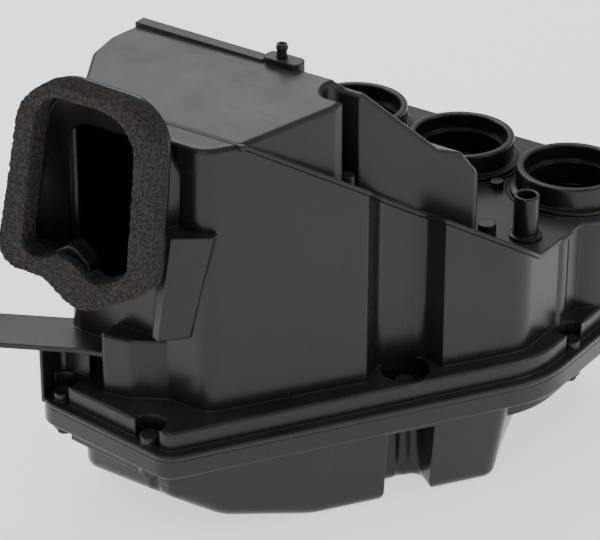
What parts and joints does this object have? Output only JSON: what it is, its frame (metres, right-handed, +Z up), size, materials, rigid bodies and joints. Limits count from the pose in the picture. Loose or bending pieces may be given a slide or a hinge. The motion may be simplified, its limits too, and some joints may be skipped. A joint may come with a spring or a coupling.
{
  "type": "airbox",
  "caption": "Moulded airbox with a foam-faced intake mouth, a pleated filter under a screwed-on cover, and a row of round outlet sleeves with flared stacks inside.",
  "frame": {"origin": "on the cover's flat base, straight below the axis of the middle outlet", "axes": "+X along the row of outlets, +Y away from the intake mouth, +Z up through the outlets"},
  "size_m": [0.2895, 0.3541, 0.2753],
  "materials": {
    "black_plastic": "satin moulded, lightly scuffed",
    "cover_plastic": "satin moulded, dusty",
    "duct_plastic": "satin moulded",
    "sleeve_plastic": "satin moulded",
    "foam": "coarse open-cell foam",
    "rubber": "matt",
    "steel": "zinc plated",
    "brass": "knurled",
    "filter_frame": "matt moulded",
    "filter_paper": "pleated paper"
  },
  "bodies": {
    "cover": {"cover": "cover_plastic", "cover_seal": "rubber", "screw_bushes": "steel", "cover_screws": "steel"},
    "filter": {"filter_frame": "filter_frame", "filter_mesh": "steel", "filter_media": "filter_paper", "filter_seal": "rubber"},
    "housing": {"housing": "black_plastic", "upper_shell": "black_plastic", "partition": "black_plastic", "snorkel": "duct_plastic", "intake_gasket": "foam", "threaded_inserts": "brass", "outlet_sleeve_1": "sleeve_plastic", "outlet_sleeve_2": "sleeve_plastic", "outlet_sleeve_3": "sleeve_plastic", "velocity_stack_1": "sleeve_plastic", "velocity_stack_2": "sleeve_plastic", "velocity_stack_3": "sleeve_plastic", "stack_screws": "steel", "breather_nipple": "sleeve_plastic", "roof_nipple": "sleeve_plastic", "arm_grommet": "rubber", "arm_collar": "steel"}
  },
  "joints": [
    {"name": "housing_lift", "type": "slide", "parent": "cover", "child": "housing", "axis": [0, 0, 1], "range_m": [0, 0.13]},
    {"name": "filter_lift", "type": "slide", "parent": "cover", "child": "filter", "axis": [0, 0, 1], "range_m": [0, 0.065]}
  ],
  "couplings": [
    {"joint": "filter_lift", "follows": "housing_lift", "ratio": 0.5}
  ]
}
